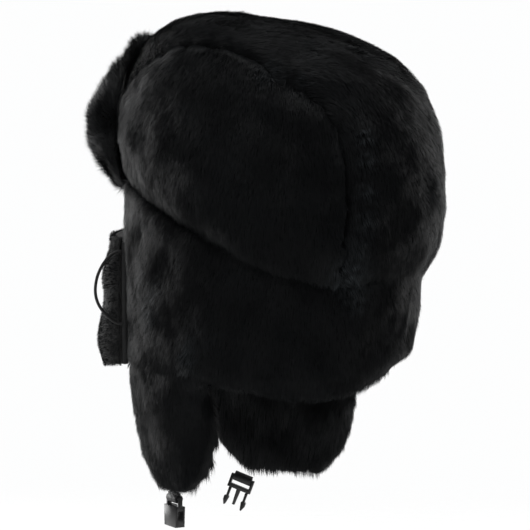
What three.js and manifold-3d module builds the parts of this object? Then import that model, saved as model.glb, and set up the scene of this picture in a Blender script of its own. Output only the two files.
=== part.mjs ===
// Trapper hat with a turned-up visor, fold-down ear flaps, a chin buckle and a detachable face mask.
// Millimetres. Z is up, the wearer looks along -Y and the wearer's left is +X.
// The origin is the middle of the head opening, level with the brow.

import * as THREE from 'three';
import { ParametricGeometry } from 'three/addons/geometries/ParametricGeometry.js';
import * as BufferGeometryUtils from 'three/addons/utils/BufferGeometryUtils.js';
import Module from 'manifold-3d';

const wasm = await Module();
wasm.setup();

// ---- driving dimensions -------------------------------------------------------------------

const GAP = 0.4;                 // room left between two layers that lie on each other
const RAD = Math.PI / 180;

// Crown: a padded dome over a 58 to 60 cm head.
const CROWN_HALF_WIDTH = 110;
const CROWN_HALF_LENGTH = 133;
const CROWN_FUR = 10;            // backing cloth and pile together
const CROWN_TOP = 133;           // height of the top above the brow, over the origin
const CROWN_TOP_SLOPE = 0.2;     // the top falls towards the back
const CROWN_TOP_BOW = 0.0009;
const TUCK_SHARE = 0.125;        // how far the overhang draws in at its lower lip
const TUCK_HEIGHT = 55;
const SEAM_CUT = 0.5;            // width of the seam between two crown panels
const ROUND_STEPS = 36;          // facets round the crown, its wadding and its lining
const RISE_STEPS = 10;

// Lining dome and headband inside the crown.
const HEAD_HALF_WIDTH = 83;
const HEAD_HALF_LENGTH = 104;
const LINING = 2.5;
const LINING_TOP = 114;
const LINING_FLAT = 0.24;        // share of the dome that is its flat top
const HEADBAND_HEIGHT = 30;
const HEADBAND = 1.6;

// Neck band: one U of fur from temple to temple round the back of the head.
const BAND_HALF_WIDTH = 98;
const BAND_HALF_LENGTH = 122.5;
const BAND_CENTRE_Y = -5;
const BAND_BOTTOM = -141;
const BAND_START = 33 * RAD;     // front edge, measured round from the brow
const BAND_BELOW_LIP = 2.6;
const BAND_FUR = 8;
const BAND_WADDING = 2.6;
const BAND_INNER = 4.2;

// Ear flaps: rounded lobes that carry on below the neck band.
const FLAP_FOLD_GAP = 0.6;
const FLAP_FUR = 8.5;
const FLAP_WADDING = 2.4;
const FLAP_INNER = 7.5;
const FLAPS = {
  left: { side: 1, end: 82 * RAD, lean: 15, curl: 16, round: 3.2, blunt: 0.24, drop: 84 },
  right: { side: -1, end: 111 * RAD, lean: 6, curl: 0, round: 3.0, blunt: 0.48, drop: 86 },
};

// Visor: a padded flap standing up against the front of the crown.
const VISOR_HALF_ANGLE = 29 * RAD;
const VISOR_THICKNESS = 24;
const VISOR_EDGE = 4;
const VISOR_BELLY = 0.38;        // how far up the visor its thickest part is
const VISOR_FROM = 0.03;
const VISOR_TO = 0.84;

// Face mask.
const MASK_HALF_WIDTH = 51;
const MASK_BACK_Y = -111.5;
const MASK_TOP = -33;
const MASK_BOTTOM = -136;
const MASK_SHELL = 2.4;
const MASK_LINING = 1.2;
const LOOP_DIAMETER = 2.4;

// Webbing and side-release buckle.
const WEBBING_WIDTH = 15;
const WEBBING = 1.5;
const BUCKLE_WIDTH = 20;
const BUCKLE_BAR = 1.5;          // radius of the bars that the webbing goes round

// ---- materials ----------------------------------------------------------------------------

function finish(color, roughness, metalness = 0) {
  return new THREE.MeshStandardMaterial({ color, roughness, metalness });
}

const FUR = finish(0x131517, 0.85);
const FUR_PALE = finish(0x24272a, 0.8);
const WADDING_CLOTH = finish(0x8d8d88, 0.95);
const SATIN = finish(0x1b1c1f, 0.45);
const COTTON = finish(0x202124, 0.9);
const NYLON = finish(0x0d0d0e, 0.7);
const ACETAL = finish(0x101113, 0.35);
const ELASTIC = finish(0x18191b, 0.8);

// ---- building helpers ---------------------------------------------------------------------

// Shared vertices welded, and the triangles that a pole collapses dropped.
function weld(geometry) {
  const bare = geometry.clone();
  bare.deleteAttribute('normal');
  bare.deleteAttribute('uv');
  const merged = BufferGeometryUtils.mergeVertices(bare, 1e-3);
  const index = merged.index.array;
  const kept = [];
  for (let i = 0; i < index.length; i += 3) {
    const [a, b, c] = [index[i], index[i + 1], index[i + 2]];
    if (a !== b && b !== c && c !== a) kept.push(a, b, c);
  }
  merged.setIndex(kept);
  return merged;
}

function turnedRound(geometry) {
  geometry.setIndex(Array.from(geometry.index.array).reverse());
  return geometry;
}

function signedVolume(geometry) {
  const place = geometry.attributes.position;
  const [a, b, c] = [new THREE.Vector3(), new THREE.Vector3(), new THREE.Vector3()];
  let six = 0;
  for (let i = 0; i < geometry.index.count; i += 3) {
    a.fromBufferAttribute(place, geometry.index.getX(i));
    b.fromBufferAttribute(place, geometry.index.getX(i + 1));
    c.fromBufferAttribute(place, geometry.index.getX(i + 2));
    six += a.dot(b.cross(c));
  }
  return six / 6;
}

// A closed geometry welded, with its faces turned to point out.
function closed(geometry) {
  const merged = weld(geometry);
  return signedVolume(merged) < 0 ? turnedRound(merged) : merged;
}

function toSolid(geometry) {
  const merged = closed(geometry);
  return new wasm.Manifold(new wasm.Mesh({
    numProp: 3,
    vertProperties: merged.attributes.position.array,
    triVerts: new Uint32Array(merged.index.array),
  }));
}

function fromSolid(solid) {
  const mesh = solid.getMesh();
  const points = new Float32Array(mesh.numVert * 3);
  for (let i = 0; i < mesh.numVert; i += 1) {
    points.set(mesh.vertProperties.subarray(i * mesh.numProp, i * mesh.numProp + 3), i * 3);
  }
  const geometry = new THREE.BufferGeometry();
  geometry.setAttribute('position', new THREE.BufferAttribute(points, 3));
  geometry.setIndex(new THREE.BufferAttribute(mesh.triVerts, 1));
  return geometry;
}

// The closed layer between depths 0 and 1 of place(u, v, depth, target). Both faces are cut
// into triangles alike, so that layers lie on each other evenly. A layer that is closed round u
// needs no ends, and one whose v = 1 edge is a pole needs no top edge.
function layer(place, across, along, { ring = false, pole = false } = {}) {
  const faces = [
    new ParametricGeometry((u, v, out) => place(u, v, 0, out), across, along),
    turnedRound(new ParametricGeometry((u, v, out) => place(u, v, 1, out), across, along)),
    new ParametricGeometry((u, v, out) => place(u, 0, 1 - v, out), across, 1),
  ];
  if (!pole) {
    faces.push(new ParametricGeometry((u, v, out) => place(u, 1, v, out), across, 1));
  }
  if (!ring) {
    faces.push(new ParametricGeometry((u, v, out) => place(0, v, 1 - u, out), 1, along));
    faces.push(new ParametricGeometry((u, v, out) => place(1, v, u, out), 1, along));
  }
  return closed(BufferGeometryUtils.mergeGeometries(faces));
}

function node(name, geometry, material) {
  const mesh = new THREE.Mesh(geometry, material);
  mesh.name = name;
  return mesh;
}

function box(width, depth, height, x = 0, y = 0, z = 0) {
  return new THREE.BoxGeometry(width, depth, height).translate(x, y, z);
}

function extrudeCentred(shape, depth, curveSegments = 6) {
  const geometry = new THREE.ExtrudeGeometry(shape, {
    depth, bevelEnabled: false, curveSegments,
  });
  return geometry.translate(0, 0, -depth / 2);
}

const mix = THREE.MathUtils.lerp;

// ---- crown --------------------------------------------------------------------------------

// Height of the crown's lower lip at an angle round from the brow: level with the brow in
// front, and low over the nape.
function lipHeight(angle) {
  return -33.75 + 37.3 * Math.cos(angle) + 4.25 * Math.cos(2 * angle) - 6.8 * Math.cos(3 * angle);
}

// Share of the dome's radius and height at rise 0 (lip) to 1 (pole), on a superellipse that is
// boxier at the back than in front.
function domeShare(angle, rise) {
  const power = 4.1 - 0.9 * Math.cos(angle);
  const turn = rise * Math.PI / 2;
  const [c, s] = [Math.cos(turn), Math.sin(turn)];
  const reach = (c ** power + s ** power) ** (-1 / power);
  return [c * reach, s * reach];
}

// The dome before its overhang is drawn in, with straight sides.
function plainDome(angle, rise, inset, out) {
  const [radius, height] = domeShare(angle, rise);
  const y = -(CROWN_HALF_LENGTH - inset) * Math.cos(angle) * radius;
  const top = CROWN_TOP - inset - CROWN_TOP_SLOPE * y - CROWN_TOP_BOW * y * y;
  return out.set(
    (CROWN_HALF_WIDTH - inset) * Math.sin(angle) * radius,
    y,
    mix(lipHeight(angle), top, height),
  );
}

// Draws a point near the lower lip in towards the middle.
function tuckIn(point) {
  const angle = Math.atan2(point.x / CROWN_HALF_WIDTH, -point.y / CROWN_HALF_LENGTH);
  const below = Math.max(0, 1 - (point.z - lipHeight(angle)) / TUCK_HEIGHT);
  const share = 1 - TUCK_SHARE * Math.min(1, below) ** 2;
  return point.set(point.x * share, point.y * share, point.z);
}

function crownPoint(angle, rise, inset, out) {
  return tuckIn(plainDome(angle, rise, inset, out));
}

function crownLayer(outerInset, innerInset) {
  return layer((u, v, depth, out) => crownPoint(
    u * 2 * Math.PI, v, mix(outerInset, innerInset, depth), out,
  ), ROUND_STEPS, RISE_STEPS, { ring: true, pole: true });
}

// The seam's line in plan, from the brow along one side to the back.
function seamLine(side) {
  return new THREE.SplineCurve([
    [56, -150], [62, -108], [80, -55], [86, 0], [85, 48], [73, 86], [68, 108], [67, 150],
  ].map(([x, y]) => new THREE.Vector2(side * x, y)));
}

// A thin upright wall along the seam, drawn in at the lip as the crown is. It parts the panels.
function seamKnife(side) {
  const line = seamLine(side).getPoints(22);
  const there = line.map((p) => new THREE.Vector2(p.x - SEAM_CUT / 2, p.y));
  const back = line.map((p) => new THREE.Vector2(p.x + SEAM_CUT / 2, p.y)).reverse();
  const wall = new THREE.ExtrudeGeometry(new THREE.Shape([...there, ...back]), {
    depth: 320, steps: 20, bevelEnabled: false,
  });
  wall.translate(0, 0, -110);
  const place = wall.attributes.position;
  const point = new THREE.Vector3();
  for (let i = 0; i < place.count; i += 1) {
    tuckIn(point.fromBufferAttribute(place, i));
    place.setXYZ(i, point.x, point.y, point.z);
  }
  return toSolid(wall);
}

function crownPanels() {
  const shell = toSolid(crownLayer(0, CROWN_FUR));
  const parts = shell.subtract(seamKnife(1)).subtract(seamKnife(-1)).decompose();
  const middle = (part) => {
    const { min, max } = part.boundingBox();
    return (min[0] + max[0]) / 2;
  };
  parts.sort((a, b) => middle(a) - middle(b));
  const names = ['crown_panel_right', 'crown_centre_panel', 'crown_panel_left'];
  return parts.map((part, i) => node(names[i], fromSolid(part), FUR));
}

// ---- lining -------------------------------------------------------------------------------

const LINING_POWER = 2.6;

function liningPoint(angle, rise, inset, out) {
  const turn = rise * Math.PI / 2;
  const [c, s] = [Math.cos(turn), Math.sin(turn)];
  const reach = (c ** LINING_POWER + s ** LINING_POWER) ** (-1 / LINING_POWER);
  const flat = 1 - LINING_FLAT ** LINING_POWER;
  const height = Math.min(1, s * reach / flat ** (1 / LINING_POWER));
  return out.set(
    (HEAD_HALF_WIDTH + LINING - inset) * Math.sin(angle) * c * reach,
    -(HEAD_HALF_LENGTH + LINING - inset) * Math.cos(angle) * c * reach,
    mix(lipHeight(angle), LINING_TOP - inset, height),
  );
}

function crownLining() {
  return layer((u, v, depth, out) => liningPoint(
    u * 2 * Math.PI, v, depth * LINING, out,
  ), ROUND_STEPS, RISE_STEPS, { ring: true, pole: true });
}

function crownWadding() {
  const inner = new THREE.Vector3();
  return layer((u, v, depth, out) => {
    const angle = u * 2 * Math.PI;
    crownPoint(angle, v, CROWN_FUR + GAP, out);
    liningPoint(angle, v, -GAP, inner);
    return out.lerp(inner, depth);
  }, ROUND_STEPS, RISE_STEPS, { ring: true, pole: true });
}

function headband() {
  return layer((u, v, depth, out) => {
    const angle = u * 2 * Math.PI;
    const height = 1 + v * HEADBAND_HEIGHT;
    const share = height / (LINING_TOP - lipHeight(angle));
    const narrowing = (1 - share ** LINING_POWER) ** (1 / LINING_POWER);
    const inset = 2 * GAP + depth * HEADBAND;
    return out.set(
      (HEAD_HALF_WIDTH - inset) * Math.sin(angle) * narrowing,
      -(HEAD_HALF_LENGTH - inset) * Math.cos(angle) * narrowing,
      lipHeight(angle) + height,
    );
  }, ROUND_STEPS, 1, { ring: true });
}

// ---- visor --------------------------------------------------------------------------------

// Across the brow (u) and up the crown (v), standing off the crown by a padded thickness that
// thins towards its edges. depth runs from its front to the face against the crown.
function visorPoint(u, v, depth, out) {
  const side = 2 * u - 1;
  const angle = side * VISOR_HALF_ANGLE * (1 - 0.12 * v ** 6);
  const rise = mix(VISOR_FROM, VISOR_TO, v) * (1 - 0.05 * side ** 4);
  const belly = Math.exp(-(((v - VISOR_BELLY) / 0.3) ** 2));
  const puff = VISOR_EDGE + (VISOR_THICKNESS - VISOR_EDGE) * belly * (1 - side ** 6) ** 0.5;
  return crownPoint(angle, rise * 0.62, -(1.2 + puff * (1 - depth)), out);
}

function visorLayer(from, to) {
  return layer((u, v, depth, out) => visorPoint(u, v, mix(from, to, depth), out), 12, 8);
}

function visor() {
  return [
    node('visor_fur', visorLayer(0, 0.52), FUR_PALE),
    node('visor_wadding', visorLayer(0.56, 0.72), WADDING_CLOTH),
    node('visor_backing', visorLayer(0.76, 1), FUR),
  ];
}

// ---- neck band ----------------------------------------------------------------------------

function bandRadiusShare(angle, down) {
  return 1 - down * (0.025 + 0.07 * Math.sin(angle / 2) ** 2);
}

function bandPoint(angle, down, inset, out) {
  const share = bandRadiusShare(angle, down);
  return out.set(
    (BAND_HALF_WIDTH * share - inset) * Math.sin(angle),
    BAND_CENTRE_Y - (BAND_HALF_LENGTH * share - inset) * Math.cos(angle),
    mix(lipHeight(angle) - BAND_BELOW_LIP, BAND_BOTTOM, down),
  );
}

function bandLayer(outerInset, innerInset) {
  return layer((u, v, depth, out) => bandPoint(
    mix(BAND_START, 2 * Math.PI - BAND_START, u), v, mix(outerInset, innerInset, depth), out,
  ), 32, 3);
}

function neckBand() {
  const wadding = BAND_FUR + GAP;
  const inner = wadding + BAND_WADDING + GAP;
  return [
    node('neck_band_fur', bandLayer(0, BAND_FUR), FUR),
    node('neck_band_wadding', bandLayer(wadding, wadding + BAND_WADDING), WADDING_CLOTH),
    node('neck_band_lining', bandLayer(inner, inner + BAND_INNER), FUR),
  ];
}

// ---- ear flaps ----------------------------------------------------------------------------

// along 0 to 1 from the front edge to the rear edge, down 0 to 1 from the fold to the tip.
function flapPoint(flap, along, down, inset, out) {
  const reach = (1 - down ** 2.2) ** (1 / flap.round);
  const share = 0.5 + (along - 0.5) * Math.max(reach, flap.blunt);
  const angle = mix(BAND_START, flap.end, share);
  const curled = Math.max(0, (share - 0.66) / 0.34) ** 2;
  const drawnIn = flap.lean * down ** 1.4 + flap.curl * curled * Math.min(1, 0.3 + 1.6 * down);
  const size = bandRadiusShare(angle, 1);
  return out.set(
    flap.side * (BAND_HALF_WIDTH * size - inset - drawnIn) * Math.sin(angle),
    BAND_CENTRE_Y - (BAND_HALF_LENGTH * size - inset - drawnIn) * Math.cos(angle),
    BAND_BOTTOM - FLAP_FOLD_GAP - flap.drop * down,
  );
}

function flapLayer(flap, outerInset, innerInset) {
  return layer((u, v, depth, out) => flapPoint(
    flap, u, Math.sin(v * Math.PI / 2), mix(outerInset, innerInset, depth), out,
  ), 10, 7);
}

const FLAP_THICKNESS = FLAP_FUR + FLAP_WADDING + FLAP_INNER + 2 * GAP;

function earFlap(name) {
  const flap = FLAPS[name];
  const wadding = FLAP_FUR + GAP;
  const inner = wadding + FLAP_WADDING + GAP;
  return [
    node(`ear_flap_${name}_fur`, flapLayer(flap, 0, FLAP_FUR), FUR),
    node(`ear_flap_${name}_wadding`, flapLayer(flap, wadding, wadding + FLAP_WADDING), WADDING_CLOTH),
    node(`ear_flap_${name}_lining`, flapLayer(flap, inner, inner + FLAP_INNER), FUR),
  ];
}

// ---- webbing and buckle -------------------------------------------------------------------

// Turns an outline drawn in X and Y and extruded along Z into one drawn in Y and Z.
const SIDE_ON = new THREE.Matrix4().makeBasis(
  new THREE.Vector3(0, 1, 0), new THREE.Vector3(0, 0, 1), new THREE.Vector3(1, 0, 0),
);

// A strap with its end sewn back round a bar. Local frame: X across, Y through, Z along, with
// the bar at the origin and the flap at the top.
function strapLoop(length) {
  const loopRadius = BUCKLE_BAR + 0.5 + WEBBING;
  const shape = new THREE.Shape();
  shape.moveTo(WEBBING, length);
  shape.lineTo(WEBBING, loopRadius);
  shape.absarc(0, 0, loopRadius, 65 * RAD, -245 * RAD, true);
  shape.lineTo(-WEBBING, length);
  shape.closePath();
  const hole = new THREE.Path();
  hole.absarc(0, 0, loopRadius - WEBBING, 0, 2 * Math.PI, false);
  shape.holes.push(hole);
  return extrudeCentred(shape, WEBBING_WIDTH, 5).applyMatrix4(SIDE_ON);
}

function tapered(width, endWidth, from, to) {
  return new THREE.Shape([
    [-width / 2, from], [-endWidth / 2, to], [endWidth / 2, to], [width / 2, from],
  ].map(([x, y]) => new THREE.Vector2(x, y)));
}

// An outline drawn in X and Z, given a thickness through Y.
function plate(shape, thickness) {
  return extrudeCentred(shape, thickness).rotateX(Math.PI / 2);
}

const SOCKET = { width: 16, height: 4.6, depth: 13.6 };
const FEMALE_FROM = -5.6;
const FEMALE_LENGTH = 15.8;

function buckleSocket() {
  const end = FEMALE_FROM - FEMALE_LENGTH;
  const body = plate(tapered(BUCKLE_WIDTH, BUCKLE_WIDTH - 1.6, FEMALE_FROM, end), 7.8);
  const railLength = 7.8;
  const parts = [-1, 1].map((side) => box(
    2.2, 3.4, railLength, side * (BUCKLE_WIDTH / 2 - 1.1), 0, 1.8 - railLength / 2,
  ));
  const bar = new THREE.CylinderGeometry(BUCKLE_BAR, BUCKLE_BAR, BUCKLE_WIDTH - 1, 10);
  bar.rotateZ(Math.PI / 2);
  let solid = toSolid(body);
  for (const piece of [...parts, bar]) solid = solid.add(toSolid(piece));
  const socket = box(SOCKET.width, SOCKET.height, SOCKET.depth + 1, 0, 0, end + SOCKET.depth / 2 - 0.5);
  const window = box(BUCKLE_WIDTH + 4, SOCKET.height, 7, 0, 0, end + 9);
  return solid.subtract(toSolid(socket)).subtract(toSolid(window));
}

const MALE_SLOT = 5;
const MALE_BODY = 3;
const MALE_THICKNESS = 4;
const MALE_END = -BUCKLE_BAR - MALE_SLOT - MALE_BODY;
const ARM_THICKNESS = 3.4;

// The plug half: a bar on two rails, an open slot, the cross-piece and the middle guide.
function buckleFrame() {
  const half = BUCKLE_WIDTH / 2;
  const railLength = 2 * BUCKLE_BAR + MALE_SLOT + 1;
  const railMiddle = BUCKLE_BAR - railLength / 2;
  const bar = new THREE.CylinderGeometry(BUCKLE_BAR, BUCKLE_BAR, BUCKLE_WIDTH - 1, 10);
  const pieces = [
    bar.rotateZ(Math.PI / 2),
    box(2.2, MALE_THICKNESS, railLength, 1.1 - half, 0, railMiddle),
    box(2.2, MALE_THICKNESS, railLength, half - 1.1, 0, railMiddle),
    plate(tapered(3.4, 2.0, MALE_END + 0.5, MALE_END - 13), 3),
  ];
  let solid = toSolid(box(BUCKLE_WIDTH, MALE_THICKNESS, MALE_BODY, 0, 0, MALE_END + MALE_BODY / 2));
  for (const piece of pieces) solid = solid.add(toSolid(piece));
  return solid;
}

const ARM_X = 7.2;
const ARM_ROOT_Z = MALE_END - 0.35;

// One springy arm with its spear head, drawn on the wearer's side that side names.
function latchArm(side) {
  const outline = [
    [-1.1, 0], [-0.9, -7.2], [-1.9, -8.4], [-0.6, -14.9],
    [0.6, -15.5], [2.3, -11.4], [2.4, -8.2], [1.0, -7.4], [1.1, 0],
  ].map(([x, z]) => [ARM_X + x, ARM_ROOT_Z + z]).map(([x, y]) => new THREE.Vector2(side * x, y));
  return plate(new THREE.Shape(side > 0 ? outline : outline.reverse()), ARM_THICKNESS);
}

// A group whose X runs across the webbing, Y through it and -Z down it, at the bar's middle.
function hangingFrame(at, across, down) {
  const x = across.clone().normalize();
  const z = down.clone().normalize().negate();
  const y = new THREE.Vector3().crossVectors(z, x).normalize();
  const group = new THREE.Group();
  group.quaternion.setFromRotationMatrix(new THREE.Matrix4().makeBasis(x, y, z));
  group.position.copy(at);
  return group;
}

const STRAPS = {
  left: {
    along: 0.25, clear: 1.8, length: 4.4,
    across: new THREE.Vector3(0.5, 0.866, 0), down: new THREE.Vector3(0, 0, -1),
  },
  right: {
    along: 0, clear: 3.2, length: 4.4,
    across: new THREE.Vector3(-0.293, 0.89, -0.35), down: new THREE.Vector3(0.11, -0.333, -0.937),
  },
};

// Where a strap leaves the lower edge of its flap, midway through the flap's thickness.
function strapRoot(name) {
  return flapPoint(FLAPS[name], STRAPS[name].along, 1, FLAP_THICKNESS / 2, new THREE.Vector3());
}

function strapBar(name) {
  const { down, length, clear } = STRAPS[name];
  return strapRoot(name).addScaledVector(down.clone().normalize(), length + clear);
}

function chinStraps() {
  const left = hangingFrame(strapBar('left'), STRAPS.left.across, STRAPS.left.down);
  left.add(node('chin_strap_left', strapLoop(STRAPS.left.length), NYLON));
  left.add(node('buckle_socket', fromSolid(buckleSocket()), ACETAL));
  const right = hangingFrame(strapBar('right'), STRAPS.right.across, STRAPS.right.down);
  right.add(node('chin_strap_right', strapLoop(STRAPS.right.length), NYLON));
  right.add(node('buckle_frame', fromSolid(buckleFrame()), ACETAL));
  right.add(node('latch_arm_front', latchArm(-1), ACETAL));
  right.add(node('latch_arm_rear', latchArm(1), ACETAL));
  return [left, right];
}

// ---- face mask ----------------------------------------------------------------------------

// Half an oval round the mouth: turn -90 to 90 degrees, down 0 to 1. It stands out over the
// nose and again, further, over the mouth.
function maskPoint(across, down, inset, out) {
  const turn = (across - 0.5) * Math.PI;
  const standOff = 20 + 12 * Math.exp(-(((down - 0.33) / 0.2) ** 2))
    + 19 * Math.exp(-(((down - 0.8) / 0.26) ** 2));
  const dip = 5 * Math.cos(turn) ** 2 * (1 - down) ** 3;
  return out.set(
    (MASK_HALF_WIDTH - inset) * Math.sin(turn),
    MASK_BACK_Y - (standOff - inset) * Math.cos(turn) ** 0.85,
    mix(MASK_TOP + dip, MASK_BOTTOM + 4 * Math.sin(turn) ** 2, down),
  );
}

function maskLayer(outerInset, innerInset) {
  return layer((u, v, depth, out) => maskPoint(
    u, v, mix(outerInset, innerInset, depth), out,
  ), 14, 9);
}

const BINDING_WIDTH = 4;

// Tape folded over the mask's side edge, and the tab behind it that carries the fastener.
function maskSide(name, side) {
  const height = MASK_TOP - MASK_BOTTOM - 8;
  const middle = (MASK_TOP + MASK_BOTTOM) / 2;
  const binding = box(MASK_SHELL + 1.6, BINDING_WIDTH, height, 0, 0, 0);
  binding.translate(side * (MASK_HALF_WIDTH - 2), MASK_BACK_Y + BINDING_WIDTH / 2 + GAP, middle);
  return node(`mask_binding_${name}`, binding, COTTON);
}

// Loop route, from the top of the side binding out round and back to its lower part.
const LOOP_ROUTE = [
  [53.4, -109.4, -44], [55.6, -111.4, -44.2], [58.6, -113.6, -45.6], [62, -115.6, -48.4],
  [65.4, -117.2, -52.2], [68.6, -118.4, -56.8], [71.4, -119.2, -62], [73.2, -119.6, -67.6],
  [73.8, -119.8, -73.4], [73, -119.6, -79], [70.8, -119, -84.2], [67.6, -118, -88.8],
  [64, -116.6, -92.8], [60.4, -114.8, -96.2], [57, -112.8, -98.8], [54.8, -111, -100], [53.4, -109.4, -100.4],
];

function earLoop(side) {
  const route = new THREE.CatmullRomCurve3(
    LOOP_ROUTE.map(([x, y, z]) => new THREE.Vector3(side * x, y, z)),
  );
  const section = new THREE.Shape();
  section.absarc(0, 0, LOOP_DIAMETER / 2, 0, 2 * Math.PI, false);
  return new THREE.ExtrudeGeometry(section, { steps: 18, extrudePath: route, curveSegments: 2 });
}

const PATCH = { width: 12, height: 30, thickness: 1.3 };

// Hook-and-loop pair between the end of the neck band and the mask's side: the loop patch is
// sewn on the band's front edge and the hook tab on the mask.
function maskFastener(name, side) {
  const edge = bandPoint(BAND_START, 0.5, 8, new THREE.Vector3());
  const outward = new THREE.Vector2(-Math.cos(BAND_START), -Math.sin(BAND_START));
  const middleZ = -76;
  const turn = Math.atan2(outward.y, outward.x);
  const place = (offset, width) => {
    const piece = box(PATCH.thickness, width, PATCH.height, 0, 0, 0);
    piece.rotateZ(turn);
    piece.translate(edge.x + outward.x * offset, edge.y + outward.y * offset, middleZ);
    return side > 0 ? piece : piece.scale(-1, 1, 1);
  };
  const first = GAP + PATCH.thickness / 2;
  return [
    node(`loop_patch_${name}`, closed(place(first, PATCH.width)), NYLON),
    node(`hook_tab_${name}`, closed(place(first + PATCH.thickness + GAP, PATCH.width)), COTTON),
  ];
}

function faceMask() {
  const parts = [
    node('mask_shell', maskLayer(0, MASK_SHELL), COTTON),
    node('mask_lining', maskLayer(MASK_SHELL + GAP, MASK_SHELL + GAP + MASK_LINING), SATIN),
  ];
  for (const [name, side] of [['left', 1], ['right', -1]]) {
    parts.push(maskSide(name, side));
    parts.push(...maskFastener(name, side));
    parts.push(node(`ear_loop_${name}`, closed(earLoop(side)), ELASTIC));
  }
  return parts;
}

// ---- whole hat ----------------------------------------------------------------------------

const hat = new THREE.Group();
hat.add(...crownPanels());
hat.add(node('crown_wadding', crownWadding(), WADDING_CLOTH));
hat.add(node('crown_lining', crownLining(), SATIN));
hat.add(node('headband', headband(), COTTON));
hat.add(...visor());
hat.add(...neckBand());
hat.add(...earFlap('left'));
hat.add(...earFlap('right'));
hat.add(...chinStraps());
hat.add(...faceMask());

export default hat;
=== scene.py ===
"""Trapper hat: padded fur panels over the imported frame, with lining, mask, straps and buckle.

Metres, in the row frame: Z is up, the wearer looks along -Y and the wearer's left is +X.
"""
import math

import bmesh
import bpy
import numpy as np
from mathutils import Matrix, Vector


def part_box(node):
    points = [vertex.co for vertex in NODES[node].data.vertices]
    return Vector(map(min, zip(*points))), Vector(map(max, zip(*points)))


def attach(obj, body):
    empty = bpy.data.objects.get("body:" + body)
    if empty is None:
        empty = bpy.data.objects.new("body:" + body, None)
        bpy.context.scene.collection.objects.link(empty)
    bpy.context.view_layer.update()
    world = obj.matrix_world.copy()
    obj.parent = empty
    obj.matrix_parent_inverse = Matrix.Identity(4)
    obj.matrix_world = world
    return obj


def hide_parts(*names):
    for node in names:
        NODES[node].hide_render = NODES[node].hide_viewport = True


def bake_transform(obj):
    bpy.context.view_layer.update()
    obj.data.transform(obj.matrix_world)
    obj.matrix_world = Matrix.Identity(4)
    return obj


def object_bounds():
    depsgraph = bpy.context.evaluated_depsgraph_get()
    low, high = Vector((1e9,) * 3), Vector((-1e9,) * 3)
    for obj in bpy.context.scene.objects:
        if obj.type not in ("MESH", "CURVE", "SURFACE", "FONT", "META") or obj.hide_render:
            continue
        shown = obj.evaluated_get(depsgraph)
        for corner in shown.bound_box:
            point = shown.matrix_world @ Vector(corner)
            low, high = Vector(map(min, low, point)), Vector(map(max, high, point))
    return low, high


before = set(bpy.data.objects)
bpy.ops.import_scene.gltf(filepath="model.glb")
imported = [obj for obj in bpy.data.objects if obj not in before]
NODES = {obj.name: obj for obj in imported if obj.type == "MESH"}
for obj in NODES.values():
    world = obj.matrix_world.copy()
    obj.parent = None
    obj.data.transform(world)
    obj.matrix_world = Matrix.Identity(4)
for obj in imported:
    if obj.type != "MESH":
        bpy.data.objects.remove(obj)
CAD_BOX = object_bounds()
MM = 0.001

# ---- view ----------------------------------------------------------------------------------

VIEW_AZIMUTH = math.radians(120)
VIEW_ELEVATION = math.radians(3)
VIEW_DISTANCE = 1.5
VIEW_WIDTH = 0.4081              # width of the view at the hat
SENSOR = 36.0
VIEW_RIGHT_OF_BROW = -10 * MM
VIEW_BELOW_BROW = 54 * MM


def place_camera():
    """Stands the camera off the hat at the view's azimuth and elevation, level, looking at a
    point given by its distance right of and below the brow."""
    turn, lift = VIEW_AZIMUTH, VIEW_ELEVATION
    level = math.cos(lift)
    towards = Vector((math.sin(turn) * level, -math.cos(turn) * level, math.sin(lift)))
    right = Vector((math.cos(turn), math.sin(turn), 0))
    up = towards.cross(right)
    aim = right * VIEW_RIGHT_OF_BROW - up * VIEW_BELOW_BROW
    data = bpy.data.cameras.new("view")
    data.sensor_width = SENSOR
    data.lens = SENSOR * VIEW_DISTANCE / VIEW_WIDTH
    camera = bpy.data.objects.new("view", data)
    turned = Matrix((right, up, towards)).transposed().to_4x4()
    camera.matrix_world = Matrix.Translation(aim + towards * VIEW_DISTANCE) @ turned
    bpy.context.scene.collection.objects.link(camera)
    bpy.context.scene.camera = camera


place_camera()

# ---- numpy helpers -------------------------------------------------------------------------


def unit(vectors):
    """Each row divided by its length."""
    return vectors / np.maximum(np.linalg.norm(vectors, axis=-1, keepdims=True), 1e-12)


def dot(a, b):
    """Row by row dot product, kept as a column."""
    return np.sum(a * b, axis=-1, keepdims=True)


def ripple(points, size, seed, waves=7):
    """Smooth noise from about -1 to 1: a sum of sine waves of one length, along random
    directions and with random phases."""
    rng = np.random.default_rng(seed)
    along = unit(rng.normal(size=(waves, 3))) * 2 * np.pi / size
    phase = rng.uniform(0, 2 * np.pi, waves)
    return np.sin(points @ along.T + phase).sum(axis=-1) / math.sqrt(waves)


def ripple_vectors(points, size, seed):
    """Three unlike ripples, as the components of a vector field."""
    return np.stack([ripple(points, size, seed + k) for k in (1, 2, 3)], axis=-1)


def smooth_step(value, low, high):
    """0 below low, 1 above high, and a cubic between them."""
    share = np.clip((value - low) / (high - low), 0, 1)
    return share * share * (3 - 2 * share)


def scattered(points, size, seed):
    """A random vector for each cube of the given size, shared by the points in it, so that
    neighbouring strands lean together in a tuft."""
    cell = np.floor(points / size).astype(np.int64)
    number = (cell * np.array([73856093, 19349663, 83492791])).sum(axis=-1) + seed * 7919
    parts = [np.sin(number * k + seed) * 43758.5453 for k in (0.618, 1.414, 2.236)]
    return np.stack([2 * (p - np.floor(p)) - 1 for p in parts], axis=-1)


def new_piece(name, data):
    piece = bpy.data.objects.new(name, data)
    bpy.context.scene.collection.objects.link(piece)
    return piece


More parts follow.
